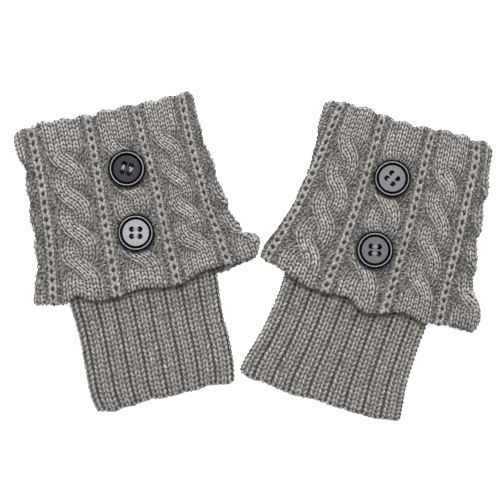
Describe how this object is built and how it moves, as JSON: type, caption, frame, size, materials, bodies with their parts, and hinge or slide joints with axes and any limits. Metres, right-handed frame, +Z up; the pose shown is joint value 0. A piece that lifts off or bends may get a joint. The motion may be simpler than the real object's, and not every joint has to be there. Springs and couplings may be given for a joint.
{
  "type": "pair of leg warmers",
  "caption": "Short knitted leg warmers laid flat side by side: ribbed tubes with turned-down cable cuffs and round buttons.",
  "frame": {"origin": "centre of the pair's outline, on the surface that it lies on", "axes": "+Z up off the surface, +Y towards the turned top edges, +X to the right across the pair, seen from above"},
  "size_m": [0.3259, 0.2233, 0.0164],
  "materials": {
    "cable_knit": "soft matte wool-like yarn",
    "rib_knit": "soft matte wool-like yarn",
    "button_resin": "glossy, dark"
  },
  "bodies": {
    "root": {"left_cuff": "cable_knit", "left_rib_tube": "rib_knit", "left_button_upper": "button_resin", "left_button_lower": "button_resin", "right_cuff": "cable_knit", "right_rib_tube": "rib_knit", "right_button_upper": "button_resin", "right_button_lower": "button_resin"}
  },
  "joints": []
}
